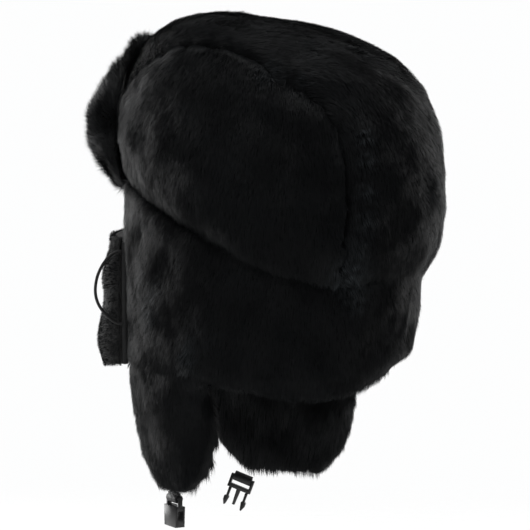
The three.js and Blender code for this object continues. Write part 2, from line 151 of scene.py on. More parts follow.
def grid_piece(name, points, ring=False, uv=None):
    """A surface through an array of points [u, v], with quads between neighbours. A ring joins
    its last row of u to its first. uv holds the cloth's own coordinates, in metres."""
    rows, columns = points.shape[:2]
    number = np.arange(rows * columns).reshape(rows, columns)
    if ring:
        number = np.vstack([number, number[:1]])
    quads = np.stack([number[:-1, :-1], number[1:, :-1], number[1:, 1:], number[:-1, 1:]], axis=-1)
    quads = quads.reshape(-1, 4)
    data = bpy.data.meshes.new(name)
    data.vertices.add(rows * columns)
    data.vertices.foreach_set("co", points.reshape(-1))
    data.loops.add(quads.size)
    data.loops.foreach_set("vertex_index", quads.reshape(-1))
    data.polygons.add(len(quads))
    data.polygons.foreach_set("loop_start", np.arange(len(quads)) * 4)
    data.polygons.foreach_set("use_smooth", np.ones(len(quads), bool))
    if uv is not None:
        across = np.vstack([uv, uv[:1]]) if ring else uv
        if ring:
            across[-1, :, 0] += uv[-1, :, 0] - uv[-2, :, 0] + uv[-1, :, 0]
        corners = np.stack([across[:-1, :-1], across[1:, :-1], across[1:, 1:], across[:-1, 1:]], axis=2)
        layer = data.uv_layers.new(name="cloth")
        layer.data.foreach_set("uv", corners.reshape(-1))
    data.update(calc_edges=True)
    return new_piece(name, data)


def points_of(piece):
    """The piece's vertices as an array."""
    points = np.empty(len(piece.data.vertices) * 3)
    piece.data.vertices.foreach_get("co", points)
    return points.reshape(-1, 3)


def set_points(piece, points):
    piece.data.vertices.foreach_set("co", points.reshape(-1))
    piece.data.update()


def apply_modifiers(piece):
    """Bakes the piece's modifiers into its mesh."""
    graph = bpy.context.evaluated_depsgraph_get()
    made = bpy.data.meshes.new_from_object(piece.evaluated_get(graph), depsgraph=graph)
    piece.modifiers.clear()
    old = piece.data
    piece.data = made
    bpy.data.meshes.remove(old)


def smooth_shading(piece):
    count = len(piece.data.polygons)
    piece.data.polygons.foreach_set("use_smooth", np.ones(count, bool))


def triangles_of(piece):
    """(vertices, triangles, vertex normals) of a piece, as arrays."""
    data = piece.data
    data.calc_loop_triangles()
    corners = np.empty(len(data.loop_triangles) * 3, np.int32)
    data.loop_triangles.foreach_get("vertices", corners)
    corners = corners.reshape(-1, 3)
    points = points_of(piece)
    faces = np.cross(points[corners[:, 1]] - points[corners[:, 0]],
                     points[corners[:, 2]] - points[corners[:, 0]])
    normals = np.zeros_like(points)
    for k in range(3):
        np.add.at(normals, corners[:, k], faces)
    return points, corners, unit(normals)


def copied_nodes(name, nodes):
    """One new mesh holding copies of CAD nodes, with their loose triangles merged."""
    made = bmesh.new()
    for node in nodes:
        made.from_mesh(NODES[node].data)
    bmesh.ops.remove_doubles(made, verts=made.verts, dist=0.02 * MM)
    data = bpy.data.meshes.new(name)
    made.to_mesh(data)
    made.free()
    return new_piece(name, data)


# ---- ear loops -----------------------------------------------------------------------------

LOOP_DIAMETER = 2.4 * MM
LOOP_ROUTE = np.array([
    (53.4, -109.4, -44), (55.6, -111.4, -44.2), (58.6, -113.6, -45.6), (62, -115.6, -48.4),
    (65.4, -117.2, -52.2), (68.6, -118.4, -56.8), (71.4, -119.2, -62), (73.2, -119.6, -67.6),
    (73.8, -119.8, -73.4), (73, -119.6, -79), (70.8, -119, -84.2), (67.6, -118, -88.8),
    (64, -116.6, -92.8), (60.4, -114.8, -96.2), (57, -112.8, -98.8), (54.8, -111, -100),
    (53.4, -109.4, -100.4),
]) * MM


def through(points, steps):
    """A Catmull-Rom curve through points, with an even number of steps in each span: each span
    blends its four nearest points with the cubic weights of its share t."""
    ends = np.vstack([2 * points[0] - points[1], points, 2 * points[-1] - points[-2]])
    t = np.linspace(0, 1, steps, endpoint=False)[None, :, None]
    a, b, c, d = (ends[k:len(ends) - 3 + k][:, None, :] for k in range(4))
    spans = 0.5 * (2 * b + (c - a) * t + (2 * a - 5 * b + 4 * c - d) * t ** 2
                   + (3 * b - a - 3 * c + d) * t ** 3)
    return np.vstack([spans.reshape(-1, 3), points[-1:]])


def tube_piece(name, path, radius, sides=14):
    """A round tube along a path, closed at both ends. Its rings turn with the path by carrying
    one side direction along, and its UV runs once round and in metres along."""
    along = unit(np.gradient(path, axis=0))
    side = np.empty_like(along)
    side[0] = unit(np.cross(along[0], (0.0, 0.0, 1.0)))
    for k in range(1, len(path)):
        side[k] = unit(side[k - 1] - along[k] * (side[k - 1] @ along[k]))
    other = np.cross(along, side)
    turn = np.linspace(0, 2 * np.pi, sides, endpoint=False)[:, None, None]
    ring = path + radius * (np.cos(turn) * side + np.sin(turn) * other)
    distance = np.concatenate([[0], np.cumsum(np.linalg.norm(np.diff(path, axis=0), axis=1))])
    uv = np.empty(ring.shape[:2] + (2,))
    uv[..., 0] = np.linspace(0, 1, sides, endpoint=False)[:, None] * 2 * np.pi * radius
    uv[..., 1] = distance
    piece = grid_piece(name, ring, ring=True, uv=uv)
    made = bmesh.new()
    made.from_mesh(piece.data)
    bmesh.ops.holes_fill(made, edges=[e for e in made.edges if e.is_boundary], sides=sides)
    bmesh.ops.recalc_face_normals(made, faces=made.faces)
    made.to_mesh(piece.data)
    made.free()
    return piece


def ear_loop(name, side):
    """The elastic loop on one side of the mask, from its top anchor out and round to the lower
    one. Returns the tube."""
    path = through(LOOP_ROUTE * np.array([side, 1, 1]), 6)
    loop = tube_piece(f"ear_loop_{name}_elastic", path, LOOP_DIAMETER / 2)
    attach(loop, "mask")
    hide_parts(f"ear_loop_{name}")
    return loop


ear_loops = [ear_loop("left", 1), ear_loop("right", -1)]

# ---- padded bodies -------------------------------------------------------------------------

SIM_FRAMES = 20
VOXEL = 4 * MM
PRESSURE = 4.0
UP = np.array([0.0, 0.0, 1.0])
MIDDLE = np.array([0.0, -0.003, 0.02])     # a point inside the crown that its pile points away from


def from_middle(points):
    """Directions away from the middle of the crown."""
    return unit(points - MIDDLE)


def from_axis(points):
    """Level directions away from the hat's upright axis."""
    return unit((points - MIDDLE) * np.array([1, 1, 0]))


def lip_height(angle):
    """Height of the crown's lower lip at an angle round from the brow, in metres."""
    return MM * (-33.75 + 37.3 * np.cos(angle) + 4.25 * np.cos(2 * angle) - 6.8 * np.cos(3 * angle))


def remeshed(piece, voxel):
    """Replaces the mesh with an even one of voxel-sized faces."""
    modifier = piece.modifiers.new("even", "REMESH")
    modifier.mode = "VOXEL"
    modifier.voxel_size = voxel
    apply_modifiers(piece)


def inflated(piece, pressure):
    """Cloth simulation of the piece's skin with air inside and no gravity."""
    cloth = piece.modifiers.new("plump", "CLOTH")
    cloth.settings.quality = 5
    cloth.settings.mass = 0.3
    cloth.settings.tension_stiffness = 12
    cloth.settings.compression_stiffness = 12
    cloth.settings.bending_stiffness = 0.6
    cloth.settings.use_pressure = True
    cloth.settings.uniform_pressure_force = pressure
    cloth.settings.effector_weights.gravity = 0
    cloth.point_cache.frame_start = 1
    cloth.point_cache.frame_end = SIM_FRAMES
    for step in range(1, SIM_FRAMES + 1):
        bpy.context.scene.frame_set(step)
    apply_modifiers(piece)
    bpy.context.scene.frame_set(1)


def drawn_in(points, normals, away, outside, inside, below):
    """Points moved against away where they face it, with it where they face back, and up where
    they face down, each by its own depth, to leave room for the pile."""
    facing = dot(normals, away)
    inwards = away * (inside * np.maximum(-facing, 0) - outside * np.maximum(facing, 0))
    return points + inwards + UP * below * np.maximum(-normals[:, 2:], 0)


def padded_body(name, nodes, away, cap, outside=0.0, inside=0.0, below=0.0):
    """A stuffed body in the space of its CAD solids: an even mesh drawn in where pile grows on
    it, blown up by the simulation, with no point moved past cap."""
    piece = copied_nodes(name, nodes)
    remeshed(piece, VOXEL)
    points, _, normals = triangles_of(piece)
    start = drawn_in(points, normals, away(points), outside, inside, below)
    set_points(piece, start)
    inflated(piece, PRESSURE)
    moved = points_of(piece) - start
    far = np.linalg.norm(moved, axis=1, keepdims=True)
    set_points(piece, start + moved * np.minimum(1, cap / np.maximum(far, 1e-9)))
    smooth = piece.modifiers.new("fine", "SUBSURF")
    smooth.levels = smooth.render_levels = 1
    apply_modifiers(piece)
    smooth_shading(piece)
    return piece


# ---- pile ----------------------------------------------------------------------------------

STRAND_WIDTH = 0.34 * MM
STRAND_CORNERS = 5                                   # two at the root, two half way, one at the tip
STRAND_LOOPS = np.array([0, 1, 2, 3, 3, 2, 4])       # a quad, then a triangle
STRAND_SHADES = np.array([0.45, 0.45, 0.8, 0.8, 1.0])
MIDDLE_WIDTH = 0.8                                   # of the width at the root
WIDE_LEAN = 34 * MM                                  # sizes of the patches that lean together
NARROW_LEAN = 11 * MM
TUFT_SIZE = 3.2 * MM
TUFT_BLUR = 0.7 * MM
SHADE_PATCH = 45 * MM
REACH_PATCH = 18 * MM
LEAST_LIFT = 0.2                                     # no strand lies flatter than this
MIDDLE_SHARE = 0.48                                  # of the reach, where a strand bends
ROOT_DEPTH = 0.4 * MM                                # roots start this far under the surface


def strands_piece(name, root, middle, tip, side, shade, facing):
    """A blade for each strand: a quad from its root to its middle and a triangle to its tip. The
    attribute shade holds each strand's brightness, darker at its root and raised at the raised
    spots of the pile as a painted highlight, and every blade is shaded as if it faced the way its
    part of the pile does, so that the pile reads as plush."""
    narrow = MIDDLE_WIDTH * side
    corners = np.stack([root - side, root + side, middle + narrow, middle - narrow, tip], axis=1)
    count = len(root)
    first = np.arange(count)[:, None] * STRAND_CORNERS
    data = bpy.data.meshes.new(name)
    data.vertices.add(count * STRAND_CORNERS)
    data.vertices.foreach_set("co", corners.reshape(-1))
    data.loops.add(count * len(STRAND_LOOPS))
    data.loops.foreach_set("vertex_index", (first + STRAND_LOOPS).reshape(-1))
    data.polygons.add(count * 2)
    starts = (np.arange(count)[:, None] * len(STRAND_LOOPS) + np.array([0, 4])).reshape(-1)
    data.polygons.foreach_set("loop_start", starts)
    data.polygons.foreach_set("use_smooth", np.ones(count * 2, bool))
    data.update(calc_edges=True)
    data.normals_split_custom_set_from_vertices(np.repeat(facing, STRAND_CORNERS, axis=0))
    values = shade[:, None] * STRAND_SHADES
    attribute = data.attributes.new("shade", "FLOAT", "POINT")
    attribute.data.foreach_set("value", values.reshape(-1).astype(np.float32))
    return new_piece(name, data)


def pile(name, base, count, length, nap, where, seed, lift=0.4, lie=0.9, tuft=0.12, droop=0.2,
         plush=0.55):
    """Fur over part of a body. Roots are spread evenly over the triangles that where() keeps.
    Each strand leaves along a mix of the surface normal (lift), the nap's direction (lie) and
    its tuft's own lean, and its outer half bends on towards the nap (droop). plush is how far
    the lean turns the way a strand is shaded."""
    rng = np.random.default_rng(seed)
    points, corners, normals = triangles_of(base)
    a, b, c = (points[corners[:, k]] for k in range(3))
    across = np.cross(b - a, c - a)
    area = np.linalg.norm(across, axis=1) * where((a + b + c) / 3, unit(across))
    chosen = rng.choice(len(corners), count, p=area / area.sum())
    share = np.sqrt(rng.random(count))[:, None]
    split = rng.random(count)[:, None]
    weights = np.concatenate([1 - share, share * (1 - split), share * split], axis=1)[:, :, None]
    root = (points[corners[chosen]] * weights).sum(axis=1)
    normal = unit((normals[corners[chosen]] * weights).sum(axis=1))
    flow = nap(root, normal)
    flow = unit(flow - normal * dot(flow, normal))
    lean = 0.75 * ripple_vectors(root, WIDE_LEAN, seed) + 0.2 * ripple_vectors(root, NARROW_LEAN, seed + 5)
    raise_and_highlight = raised_and_highlit(root)
    lean = lean + 0.5 * scattered(root + TUFT_BLUR * rng.normal(size=root.shape), TUFT_SIZE, seed)
    lift = lift + 0.7 * raise_and_highlight[:, None]
    start = unit(lift * normal + lie * flow + tuft * (lean + 0.45 * rng.normal(size=root.shape)))
    start = unit(start + normal * np.maximum(0, LEAST_LIFT - dot(start, normal)))
    bend = unit(start + droop * flow - 0.12 * normal)
    reach = length * (0.8 + 0.35 * rng.random(count)) * (1 + 0.1 * ripple(root, REACH_PATCH, seed + 9))
    reach = reach[:, None]
    middle = root + start * reach * MIDDLE_SHARE
    tip = middle + bend * reach * (1 - MIDDLE_SHARE)
    side = unit(np.cross(start, normal) + 0.2 * rng.normal(size=root.shape))
    side = unit(side - start * dot(side, start)) * STRAND_WIDTH / 2
    shade = np.clip(0.5 + 0.16 * rng.random(count) + 0.2 * ripple(root, SHADE_PATCH, seed + 11), 0.1, 1)
    # painted highlight: strands at the raised spots are made much paler, standing in for the sheen the
    # raised pile catches
    shade = shade + raise_and_highlight * (2.5 + 9 * rng.random(count) ** 2)
    facing = unit(normal + plush * (0.5 * lean + 0.2 * rng.normal(size=root.shape)) - 0.15 * flow)
    return strands_piece(name, root - ROOT_DEPTH * normal, middle, tip, side, shade, facing)


# Spots where handling has raised the pile, so that it stands up there, and where its strands are
# # painted paler as a painted highlight: middle and radius in millimetres, and how strongly.
RAISED_HIGHLIT_SPOTS = [
    ((52, 91, 42), 6, 1.0), ((52, 92, 26), 6, 0.8), ((53, 92, 8), 6, 1.0), ((53, 92, -10), 7, 0.9),
    ((55, 89, -28), 8, 0.7), ((57, 86, -50), 13, 1.2), ((48, 92, -66), 9, 0.8), ((73, 33, 77), 8, 0.8),
    ((64, 50, 73), 5, 0.5), ((83, -64, -85), 9, 0.8), ((88, -56, -70), 7, 0.6),
    ((100, -26, -129), 8, 0.9), ((78, -72, -55), 6, 0.6), ((30, -20, 122), 9, 0.5),
    ((20, 70, 95), 10, 0.5), ((-20, 112, -30), 10, 0.5), ((-60, 88, -70), 12, 0.6),
    ((-88, 30, 40), 14, 0.7), ((-80, -50, 10), 12, 0.6), ((0, 118, 10), 12, 0.6),
]


def raised_and_highlit(points):
    """How far the pile is raised at each point, and how much paler its strands are painted there as
    a painted highlight, 0 to about 1: a ragged patch at each spot.
    """
    torn = 0.5 + 0.5 * ripple(points, 7 * MM, 77)
    total = np.zeros(len(points))
    for middle, radius, strength in RAISED_HIGHLIT_SPOTS:
        line = unit(np.array(middle) * MM - MIDDLE)
        along = (points - MIDDLE) @ line
        away = np.linalg.norm(points - MIDDLE - along[:, None] * line, axis=1) / (radius * MM)
        total += strength * np.exp(-away ** 2) * (along > 0)
    return np.clip(total * (0.4 + torn), 0, 1.3)


def nap_down(points, normals):
    """Pile that lies downwards."""
    return np.broadcast_to(-UP, points.shape)


def nap_up(points, normals):
    """Pile that lies upwards, as on a flap that is turned up."""
    return np.broadcast_to(UP, points.shape)


def nap_back(points, normals):
    """Pile that lies from front to back over the top and down over the nape."""
    back = np.broadcast_to(np.array([0.0, 1.0, 0.0]), points.shape)
    fall = smooth_step(np.abs(points[:, 1:2]), 60 * MM, 115 * MM)
    return back * (1 - fall) - UP * fall * np.where(points[:, 1:2] > 0, 1.0, 0.15)


def on_outside(points, facing):
    """Keeps the faces that look away from the crown's middle."""
    return (dot(facing, from_middle(points))[:, 0] > -0.1).astype(float)


def on_wall_outside(points, facing):
    """Keeps an upright wall's outer side and its edges, but not the cut between two halves."""
    cut = (np.abs(points[:, 0]) < MM) * (np.abs(facing[:, 0]) > 0.9)
    return (dot(facing, from_axis(points))[:, 0] > -0.35) * (1.0 - cut)


def on_wall_inside(points, facing):
    """Keeps an upright wall's inner side."""
    return (dot(facing, from_axis(points))[:, 0] < -0.3).astype(float)


def between(test, axis, low, high):
    """The same test, for the faces between two limits along one axis."""
    def narrowed(points, facing):
        place = points[:, axis]
        return test(points, facing) * (place >= low) * (place < high)
    return narrowed


# ---- the fur pieces ------------------------------------------------------------------------

PILE = 6.2 * MM                  # crown, neck band and the outside of the flaps
LONG_PILE = 9.2 * MM             # visor and the inside of the flaps
PILE_STAND = 2 * MM              # how far pile stands off the body it grows on

furs = []                        # (object, is it a body under the pile, which slot)


def add_body(piece, nodes, slot):
    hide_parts(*nodes)
    furs.append((piece, True, slot))
    return piece


def add_pile(piece, slot):
    furs.append((piece, False, slot))
    return piece


def crown_body(name, node):
    piece = padded_body(name, [node], from_middle, cap=1.4 * MM, outside=PILE_STAND)
    points = points_of(piece)
    set_points(piece, points + from_middle(points) * ripple(points, 70 * MM, 3)[:, None] * 0.8 * MM)
    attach(piece, "crown")
    return add_body(piece, [node], "black_pile")


panel_left = crown_body("crown_panel_left_body", "crown_panel_left")
panel_right = crown_body("crown_panel_right_body", "crown_panel_right")
panel_centre = crown_body("crown_centre_body", "crown_centre_panel")

for side_name, base, seed in (("left", panel_left, 11), ("right", panel_right, 12)):
    strands = pile(f"crown_panel_{side_name}_pile", base, 60000, PILE, nap_down, on_outside, seed)
    add_pile(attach(strands, "crown"), "black_pile")

CENTRE_CUTS = [-0.2, -0.045, 0.05, 0.2]        # the centre panel's pile in three lengths, along Y
CENTRE_PARTS = zip(("front", "top", "back"), CENTRE_CUTS, CENTRE_CUTS[1:], (21, 22, 23))
for part, low, high, seed in CENTRE_PARTS:
    strands = pile(f"crown_centre_pile_{part}", panel_centre, 60000, PILE, nap_back,
                   between(on_outside, 1, low, high), seed)
    add_pile(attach(strands, "crown"), "black_pile")

# Visor: one stuffed flap, shaggy all over its front and its rim.
VISOR_NODES = ["visor_fur", "visor_wadding", "visor_backing"]
visor = padded_body("visor_body", VISOR_NODES, from_middle, cap=2.5 * MM, outside=4 * MM)
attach(visor, "visor")
add_body(visor, VISOR_NODES, "long_pile")


def on_visor_front(points, facing):
    """Keeps the visor's front, its rim and a strip of its back next to the rim."""
    return (dot(facing, from_middle(points))[:, 0] > -0.3).astype(float)


strands = pile("visor_pile", visor, 62000, LONG_PILE, nap_up, on_visor_front, 31, lift=0.7, lie=0.6,
               tuft=0.55, plush=0.9)
add_pile(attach(strands, "visor"), "long_pile")

# Neck band and ear flaps: one stuffed U with a lobe at each side, in two halves that meet at
# # the nape.
FLAP_NODES = {side: [f"ear_flap_{side}_{layer}" for layer in ("fur", "wadding", "lining")]
              for side in ("left", "right")}
BAND_NODES = ["neck_band_fur", "neck_band_wadding", "neck_band_lining"]
FLAP_FROM = -130 * MM             # pile below this height is the flap's
LIP_TUCK = 14 * MM                # how far the band's edge goes up under the lip
HEM_BAND = (105 * MM, 141 * MM)   # depths below the brow over which the hem is shaped
NAPE_SPAN = (2.35, 3.5, 4.1, 4.8)  # radians from the brow over the left: rise and fall of the nape
HEM_ROUND = 10 * MM
HEM_RAISED = 9 * MM               # at the right of the nape
HEM_DROPPED = 7 * MM              # at the left, behind the ear flap


def shaped_neck(piece):
    """Tucks the band's upper edge up under the crown's lip, and rounds its lower edge in at the
    nape."""
    points = points_of(piece)
    angle = np.arctan2(points[:, 0], -points[:, 1] + 5 * MM)
    below_lip = lip_height(angle) - points[:, 2]
    points[:, 2] += LIP_TUCK * (1 - smooth_step(below_lip, 3 * MM, 26 * MM))
    low = smooth_step(-points[:, 2], *HEM_BAND) ** 2
    round_back = np.mod(angle, 2 * np.pi)
    nape = smooth_step(round_back, *NAPE_SPAN[:2]) * (1 - smooth_step(round_back, *NAPE_SPAN[2:]))
    rear = smooth_step(points[:, 1], 5 * MM, 60 * MM)
    points -= from_axis(points) * (HEM_ROUND * low * (0.4 * rear + nape))[:, None]
    points[:, 2] += low * (HEM_RAISED * nape - HEM_DROPPED * rear * (1 - nape))
    set_points(piece, points)


def half_of(piece, name, side):
    """The half of a piece on one side of the hat's middle plane, closed along the cut."""
    made = bmesh.new()
    made.from_mesh(piece.data)
    everything = made.verts[:] + made.edges[:] + made.faces[:]
    cut = bmesh.ops.bisect_plane(made, geom=everything, plane_co=(0, 0, 0), plane_no=(side, 0, 0),
                                 clear_inner=True)
    rim = [e for e in cut["geom_cut"] if isinstance(e, bmesh.types.BMEdge)]
    bmesh.ops.holes_fill(made, edges=rim, sides=0)
    bmesh.ops.recalc_face_normals(made, faces=made.faces)
    data = bpy.data.meshes.new(name)
    made.to_mesh(data)
    made.free()
    half = new_piece(name, data)
    smooth_shading(half)
    return half


def bend_with_flap(piece):
    """Bakes the piece's placement into its mesh; it does not bend with the flap."""
    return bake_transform(piece)


neck = padded_body("neck", BAND_NODES + FLAP_NODES["left"] + FLAP_NODES["right"], from_axis,
                   cap=1.6 * MM, outside=PILE_STAND, inside=PILE_STAND, below=PILE_STAND)
shaped_neck(neck)
for side_name, side, seed in (("left", 1, 41), ("right", -1, 51)):
    half = half_of(neck, f"neck_{side_name}_body", side)
    replaced = FLAP_NODES[side_name] + (BAND_NODES if side > 0 else [])
    grown = [
        pile(f"neck_band_{side_name}_pile", half, 60000, PILE, nap_down,
             between(on_wall_outside, 2, FLAP_FROM, 1), seed),
        pile(f"ear_flap_{side_name}_pile", half, 34000, PILE, nap_down,
             between(on_wall_outside, 2, -1, FLAP_FROM), seed + 1),
        pile(f"neck_{side_name}_inner_pile", half, 44000, LONG_PILE, nap_down, on_wall_inside,
             seed + 2),
    ]
    add_body(bend_with_flap(half), replaced, "black_pile")
    for strands, slot in zip(grown, ("black_pile", "black_pile", "long_pile")):
        add_pile(bend_with_flap(strands), slot)
bpy.data.objects.remove(neck)

# ---- lining and headband -------------------------------------------------------------------

lining_low, lining_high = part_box("crown_lining")
LINING_HALF = np.array([lining_high.x, lining_high.y]) - 0.3 * MM
LINING_TOP = lining_high.z
LINING_WALL = 2.5 * MM
LINING_FLAT = 0.24
LINING_POWER = 2.6
QUILT_PUFF = 1.3 * MM
QUILT_ROUND = 18                 # quilted diamonds round the lining
QUILT_RISE = 7


def lining_wall(angle, rise, inset):
    """The lining's dome: a superellipse from the lip to a flat top, drawn in by inset."""
    turn = rise * np.pi / 2
    c, s = np.cos(turn), np.sin(turn)
    reach = (np.abs(c) ** LINING_POWER + s ** LINING_POWER) ** (-1 / LINING_POWER)
    flat = (1 - LINING_FLAT ** LINING_POWER) ** (1 / LINING_POWER)
    height = np.minimum(1, s * reach / flat)
    lip = lip_height(angle)
    return np.stack([
        (LINING_HALF[0] - inset) * np.sin(angle) * c * reach,
        -(LINING_HALF[1] - inset) * np.cos(angle) * c * reach,
        lip + (LINING_TOP - inset - lip) * height,
    ], axis=-1)


def quilted_lining():
    """Satin quilted in diamonds: the dome's inner face, raised between two crossing families of
    sewn lines by the product of their sines, and an outer face behind it."""
    angle, rise = np.meshgrid(np.linspace(0, 2 * np.pi, 217)[:-1], np.linspace(0, 0.995, 92),
                              indexing="ij")
    first = np.abs(np.sin(np.pi * (angle / (2 * np.pi) * QUILT_ROUND + rise * QUILT_RISE)))
    second = np.abs(np.sin(np.pi * (angle / (2 * np.pi) * QUILT_ROUND - rise * QUILT_RISE)))
    puff = np.minimum(first, second) ** 0.5 * QUILT_PUFF * (1 - smooth_step(rise, 0.8, 0.95))
    inner = lining_wall(angle, rise, LINING_WALL + puff - QUILT_PUFF)
    uv = np.stack([angle * 90 * MM, rise * 160 * MM], axis=-1)
    piece = grid_piece("crown_lining_quilt", inner, ring=True, uv=uv)
    piece.data.flip_normals()
    close_pole(piece)
    wall = piece.modifiers.new("wall", "SOLIDIFY")
    wall.thickness = 1.1 * MM
    wall.offset = -1
    apply_modifiers(piece)
    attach(piece, "crown")
    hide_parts("crown_lining", "crown_wadding")
    return piece


def close_pole(piece):
    """Fills the small hole that a dome's grid leaves round its pole."""
    made = bmesh.new()
    made.from_mesh(piece.data)
    top = max(v.co.z for v in made.verts)
    rim = [e for e in made.edges if e.is_boundary and min(v.co.z for v in e.verts) > top - 2 * MM]
    bmesh.ops.holes_fill(made, edges=rim, sides=0)
    bmesh.ops.recalc_face_normals(made, faces=made.faces)
    for face in made.faces:
        face.normal_flip()
        face.smooth = True
    made.to_mesh(piece.data)
    made.free()


BAND_RISE = np.array([0.6, 1.2, 3, 8, 15.6, 23, 28, 30, 30.6]) * MM
BAND_PROUD = np.array([0.0, 0.9, 1.3, 1.9, 2.1, 1.9, 1.3, 0.9, 0.0]) * MM


def sweat_band():
    """A soft cotton band round the inside of the lip: a thin bulged profile carried round the
    lining, just proud of it."""
    angle, row = np.meshgrid(np.linspace(0, 2 * np.pi, 181)[:-1], np.arange(len(BAND_RISE)),
                             indexing="ij")
    lip = lip_height(angle)
    share = BAND_RISE[row] / (LINING_TOP - lip)
    narrowing = (1 - share ** LINING_POWER) ** (1 / LINING_POWER)
    inset = LINING_WALL + 0.1 * MM + BAND_PROUD[row]
    points = np.stack([
        (LINING_HALF[0] - inset) * np.sin(angle) * narrowing,
        -(LINING_HALF[1] - inset) * np.cos(angle) * narrowing,
        lip + BAND_RISE[row],
    ], axis=-1)
    uv = np.stack([angle * 93 * MM, BAND_RISE[row]], axis=-1)
    piece = grid_piece("headband_cotton", points, ring=True, uv=uv)
    piece.data.flip_normals()
    wall = piece.modifiers.new("wall", "SOLIDIFY")
    wall.thickness = 0.8 * MM
    wall.offset = -1
    apply_modifiers(piece)
    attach(piece, "crown")
    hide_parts("headband")
    return piece


lining = quilted_lining()
headband = sweat_band()

# ---- face mask -----------------------------------------------------------------------------

mask_low, mask_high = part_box("mask_shell")
MASK_HALF_WIDTH = mask_high.x
MASK_BACK_Y = mask_high.y
MASK_BOTTOM = mask_low.z
MASK_TOP = MASK_BOTTOM + 103 * MM


def mask_wall(across, down, inset):
    """Half an oval round the mouth: out from the sides with the cosine of the turn, standing
    further out over the nose and over the mouth, and dipped at its upper edge."""
    turn = (across - 0.5) * np.pi
    over_nose = 12 * np.exp(-((down - 0.33) / 0.2) ** 2)
    over_mouth = 19 * np.exp(-((down - 0.8) / 0.26) ** 2)
    stand = (20 + over_nose + over_mouth) * MM
    wrinkle = 0.5 * MM * np.sin(26 * down + 3 * turn) * smooth_step(np.abs(across - 0.5), 0.2, 0.42)
    top = MASK_TOP + 5 * MM * np.cos(turn) ** 2 * (1 - down) ** 3
    bottom = MASK_BOTTOM + 4 * MM * np.sin(turn) ** 2
    return np.stack([
        (MASK_HALF_WIDTH - inset) * np.sin(turn),
        MASK_BACK_Y - (stand - inset - wrinkle) * np.abs(np.cos(turn)) ** 0.85,
        top + (bottom - top) * down,
    ], axis=-1)


def mask_layer(name, inset, thickness, nodes):
    """One sewn layer of the mask, as a fine grid given a thickness inwards."""
    across, down = np.meshgrid(np.linspace(0, 1, 97), np.linspace(0, 1, 73), indexing="ij")
    uv = np.stack([across * 150 * MM, down * 104 * MM], axis=-1)
    piece = grid_piece(name, mask_wall(across, down, inset), uv=uv)
    wall = piece.modifiers.new("wall", "SOLIDIFY")
    wall.thickness = thickness
    wall.offset = -1
    apply_modifiers(piece)
    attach(piece, "mask")
    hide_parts(*nodes)
    return piece


mask_shell = mask_layer("mask_shell_cloth", 0.2 * MM, 2.0 * MM, ["mask_shell"])
mask_fleece = pile("mask_fleece", mask_shell, 26000, 2.4 * MM, nap_down, on_wall_outside, 61, lift=0.8,
                   lie=0.3, tuft=0.5)
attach(mask_fleece, "mask")
mask_lining = mask_layer("mask_lining_cloth", 2.8 * MM, 1.0 * MM, ["mask_lining"])


def folded_tape(name, node, body, bevel):
    """A CAD solid with its edges rounded, for tape folded over an edge and for small moulded
    pieces."""
    piece = copied_nodes(name, [node])
    made = bmesh.new()
    made.from_mesh(piece.data)
    bmesh.ops.dissolve_limit(made, angle_limit=math.radians(1), verts=made.verts, edges=made.edges)
    bmesh.ops.recalc_face_normals(made, faces=made.faces)
    made.to_mesh(piece.data)
    made.free()
    round_off = piece.modifiers.new("round", "BEVEL")
    round_off.width = bevel
    round_off.segments = 3
    round_off.limit_method = "ANGLE"
    round_off.angle_limit = math.radians(35)
    round_off.harden_normals = True
    apply_modifiers(piece)
    smooth_shading(piece)
    piece.data.set_sharp_from_angle(angle=math.radians(40))
    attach(piece, body)
    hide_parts(node)
    return piece


tapes = [folded_tape(f"mask_binding_{s}_tape", f"mask_binding_{s}", "mask", 0.9 * MM)
         for s in ("left", "right")]
hook_tabs = [folded_tape(f"hook_tab_{s}_tape", f"hook_tab_{s}", "mask", 0.35 * MM)
             for s in ("left", "right")]
loop_patches = [folded_tape(f"loop_patch_{s}_tape", f"loop_patch_{s}", "crown",
                            0.35 * MM)
                for s in ("left", "right")]

# ---- straps and buckle ---------------------------------------------------------------------

straps = [folded_tape(f"chin_strap_{s}_webbing", f"chin_strap_{s}", f"strap_{s}",
                      0.3 * MM)
          for s in ("left", "right")]
buckle = [folded_tape("buckle_socket_moulding", "buckle_socket", "buckle_socket", 0.45 * MM),
          folded_tape("buckle_frame_moulding", "buckle_frame", "buckle_plug", 0.45 * MM),
          folded_tape("latch_arm_front_moulding", "latch_arm_front", "latch_front", 0.4 * MM),
          folded_tape("latch_arm_rear_moulding", "latch_arm_rear", "latch_rear", 0.4 * MM)]

# ---- node groups ---------------------------------------------------------------------------


class Nodes:
    """Adds and joins the nodes of one tree."""

    def __init__(self, tree):
        self.tree = tree

    def add(self, kind, settings=None, **values):
        """A node of that kind. A value that is an output socket is joined to the input of that
        name, and any other is set on it."""
        made = self.tree.nodes.new(kind)
        for key, value in (settings or {}).items():
            setattr(made, key, value)
        for key, value in values.items():
            by_number = key[:1] == "i" and key[1:].isdigit()
            socket = made.inputs[int(key[1:]) if by_number else key.replace("_", " ")]
            if isinstance(value, bpy.types.NodeSocket):
                self.tree.links.new(value, socket)
            else:
                socket.default_value = value
        return made

    def math(self, operation, a, b=0.0, clamp=False):
        settings = {"operation": operation, "use_clamp": clamp}
        return self.add("ShaderNodeMath", settings, i0=a, i1=b).outputs[0]

    def mixed(self, share, a, b):
        node = self.add("ShaderNodeMix", {"data_type": "RGBA", "clamp_factor": False})
        for socket, value in zip((node.inputs[0], node.inputs[6], node.inputs[7]), (share, a, b)):
            if isinstance(value, bpy.types.NodeSocket):
                self.tree.links.new(value, socket)
            else:
                socket.default_value = value
        return node.outputs[2]

    def ramp(self, value, low, high):
        return self.add("ShaderNodeMapRange", {"interpolation_type": "SMOOTHSTEP"},
                        Value=value, From_Min=low, From_Max=high).outputs[0]


def colour(r, g, b):
    return (r, g, b, 1.0)


